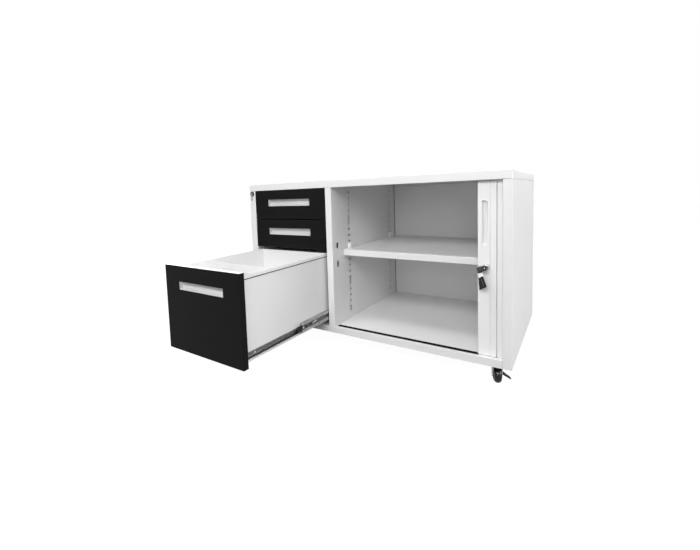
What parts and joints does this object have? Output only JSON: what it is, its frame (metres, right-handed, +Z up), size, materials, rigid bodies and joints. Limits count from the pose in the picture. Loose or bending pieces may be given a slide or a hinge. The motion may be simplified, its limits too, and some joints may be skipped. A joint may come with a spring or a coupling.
{
  "type": "roller shutter cabinet",
  "caption": "Mobile white steel office cabinet with box drawers over a file drawer on telescopic slides, beside a cupboard closed by a sideways roller shutter, on braked swivel castors.",
  "frame": {"origin": "on the floor, under the middle of the box round the cabinet with its file drawer out", "axes": "+Z up, -Y towards the front with the drawers and the shutter, +X to the right seen from it"},
  "size_m": [1.05, 1.055, 0.66],
  "materials": {
    "white_powder_coat": "white powder coat, satin",
    "black_powder_coat": "black powder coat, satin",
    "white_slat_plastic": "extruded and moulded plastic, matt",
    "zinc_plated_steel": "bright zinc plate",
    "black_zinc_steel": "black zinc plate",
    "chromed_lock": "polished chrome",
    "black_plastic": "moulded black plastic, matt"
  },
  "bodies": {
    "cabinet": {"top_panel": "white_powder_coat", "left_side_panel": "white_powder_coat", "right_side_panel": "white_powder_coat", "back_panel": "white_powder_coat", "base_panel": "white_powder_coat", "divider_panel": "white_powder_coat", "cupboard_liner": "white_powder_coat", "shelf": "white_powder_coat", "shelf_clip_left_front": "white_powder_coat", "shelf_clip_left_rear": "white_powder_coat", "shelf_clip_right_front": "white_powder_coat", "shelf_clip_right_rear": "white_powder_coat", "shutter_track_top": "black_plastic", "shutter_track_bottom": "black_plastic", "shutter_curtain": "white_slat_plastic", "drawer_lock_housing": "black_zinc_steel", "upper_slide_outer_left": "zinc_plated_steel", "upper_slide_outer_right": "zinc_plated_steel", "lower_slide_outer_left": "zinc_plated_steel", "lower_slide_outer_right": "zinc_plated_steel", "file_slide_outer_left": "zinc_plated_steel", "file_slide_outer_right": "zinc_plated_steel", "castor_plate_front_left": "zinc_plated_steel", "castor_plate_front_right": "zinc_plated_steel", "castor_plate_rear_left": "zinc_plated_steel", "castor_plate_rear_right": "zinc_plated_steel"},
    "shutter": {"shutter_lead_rail": "white_slat_plastic", "shutter_pull": "white_slat_plastic", "shutter_front_slat": "white_slat_plastic", "shutter_lock_barrel": "chromed_lock"},
    "shutter_lock": {"shutter_lock_plug": "chromed_lock"},
    "shutter_key": {"shutter_key": "black_plastic"},
    "shutter_bolt": {"shutter_bolt": "zinc_plated_steel"},
    "upper_drawer": {"upper_drawer_front": "black_powder_coat", "upper_drawer_pull": "white_powder_coat", "upper_drawer_box": "white_powder_coat"},
    "lower_drawer": {"lower_drawer_front": "black_powder_coat", "lower_drawer_pull": "white_powder_coat", "lower_drawer_box": "white_powder_coat"},
    "file_drawer": {"file_drawer_front": "black_powder_coat", "file_drawer_pull": "white_powder_coat", "file_drawer_box": "white_powder_coat", "file_slide_inner_left": "black_zinc_steel", "file_slide_inner_right": "black_zinc_steel"},
    "file_slide": {"file_slide_middle_left": "zinc_plated_steel", "file_slide_middle_right": "zinc_plated_steel"},
    "drawer_lock": {"drawer_lock_plug": "black_zinc_steel", "drawer_key": "chromed_lock", "drawer_lock_cam": "zinc_plated_steel"},
    "drawer_lock_bar": {"drawer_lock_bar": "zinc_plated_steel"},
    "castor_front_left": {"castor_fork_front_left": "zinc_plated_steel"},
    "castor_wheel_front_left": {"castor_wheel_front_left": "black_plastic"},
    "castor_brake_front_left": {"castor_brake_lever_front_left": "black_plastic"},
    "castor_front_right": {"castor_fork_front_right": "zinc_plated_steel"},
    "castor_wheel_front_right": {"castor_wheel_front_right": "black_plastic"},
    "castor_brake_front_right": {"castor_brake_lever_front_right": "black_plastic"},
    "castor_rear_left": {"castor_fork_rear_left": "zinc_plated_steel"},
    "castor_wheel_rear_left": {"castor_wheel_rear_left": "black_plastic"},
    "castor_rear_right": {"castor_fork_rear_right": "zinc_plated_steel"},
    "castor_wheel_rear_right": {"castor_wheel_rear_right": "black_plastic"}
  },
  "joints": [
    {"name": "shutter_slide", "type": "slide", "parent": "cabinet", "child": "shutter", "axis": [-1, 0, 0], "range_m": [0, 0.5195], "deforming": ["shutter_curtain"]},
    {"name": "shutter_lock_turn", "type": "hinge", "parent": "shutter", "child": "shutter_lock", "pos_m": [0.4521, -0.068, 0.369], "axis": [0, -1, 0], "range_deg": [0, 90]},
    {"name": "shutter_key_fold", "type": "hinge", "parent": "shutter_lock", "child": "shutter_key", "pos_m": [0.43588, -0.0823, 0.35536], "axis": [-0.9563, 0, -0.2924], "range_deg": [0, 90]},
    {"name": "shutter_bolt_slide", "type": "slide", "parent": "shutter", "child": "shutter_bolt", "axis": [-1, 0, 0], "range_m": [0, 0.01]},
    {"name": "upper_drawer_slide", "type": "slide", "parent": "cabinet", "child": "upper_drawer", "axis": [0, -1, 0], "range_m": [0, 0.34]},
    {"name": "lower_drawer_slide", "type": "slide", "parent": "cabinet", "child": "lower_drawer", "axis": [0, -1, 0], "range_m": [0, 0.34]},
    {"name": "file_drawer_slide", "type": "slide", "parent": "cabinet", "child": "file_drawer", "axis": [0, -1, 0], "range_m": [-0.455, 0]},
    {"name": "file_slide_middle", "type": "slide", "parent": "cabinet", "child": "file_slide", "axis": [0, -1, 0], "range_m": [-0.2275, 0]},
    {"name": "drawer_lock_turn", "type": "hinge", "parent": "cabinet", "child": "drawer_lock", "pos_m": [-0.509, -0.0725, 0.62], "axis": [0, 1, 0], "range_deg": [0, 90]},
    {"name": "drawer_lock_bar_slide", "type": "slide", "parent": "cabinet", "child": "drawer_lock_bar", "axis": [0, 0, 1], "range_m": [0, 0.012]},
    {"name": "castor_swivel_front_left", "type": "hinge", "parent": "cabinet", "child": "castor_front_left", "pos_m": [-0.472, -0.013, 0.055], "axis": [0, 0, 1], "continuous": true},
    {"name": "castor_spin_front_left", "type": "hinge", "parent": "castor_front_left", "child": "castor_wheel_front_left", "pos_m": [-0.46584, -0.02991, 0.025], "axis": [0.9397, 0.342, 0], "continuous": true},
    {"name": "castor_brake_front_left", "type": "hinge", "parent": "castor_front_left", "child": "castor_brake_front_left", "pos_m": [-0.44931, -0.02389, 0.03], "axis": [0.342, -0.9397, 0], "range_deg": [0, 35]},
    {"name": "castor_swivel_front_right", "type": "hinge", "parent": "cabinet", "child": "castor_front_right", "pos_m": [0.472, -0.013, 0.055], "axis": [0, 0, 1], "continuous": true},
    {"name": "castor_spin_front_right", "type": "hinge", "parent": "castor_front_right", "child": "castor_wheel_front_right", "pos_m": [0.47816, -0.02991, 0.025], "axis": [0.9397, 0.342, 0], "continuous": true},
    {"name": "castor_brake_front_right", "type": "hinge", "parent": "castor_front_right", "child": "castor_brake_front_right", "pos_m": [0.49469, -0.02389, 0.03], "axis": [0.342, -0.9397, 0], "range_deg": [0, 35]},
    {"name": "castor_swivel_rear_left", "type": "hinge", "parent": "cabinet", "child": "castor_rear_left", "pos_m": [-0.472, 0.468, 0.055], "axis": [0, 0, 1], "continuous": true},
    {"name": "castor_spin_rear_left", "type": "hinge", "parent": "castor_rear_left", "child": "castor_wheel_rear_left", "pos_m": [-0.46584, 0.45109, 0.025], "axis": [0.9397, 0.342, 0], "continuous": true},
    {"name": "castor_swivel_rear_right", "type": "hinge", "parent": "cabinet", "child": "castor_rear_right", "pos_m": [0.472, 0.468, 0.055], "axis": [0, 0, 1], "continuous": true},
    {"name": "castor_spin_rear_right", "type": "hinge", "parent": "castor_rear_right", "child": "castor_wheel_rear_right", "pos_m": [0.47816, 0.45109, 0.025], "axis": [0.9397, 0.342, 0], "continuous": true}
  ],
  "couplings": [
    {"joint": "shutter_bolt_slide", "follows": "shutter_lock_turn", "m_per_rad": 0.00636},
    {"joint": "file_slide_middle", "follows": "file_drawer_slide", "ratio": 0.5},
    {"joint": "drawer_lock_turn", "follows": "drawer_lock_bar_slide", "rad_per_m": 130.8}
  ]
}
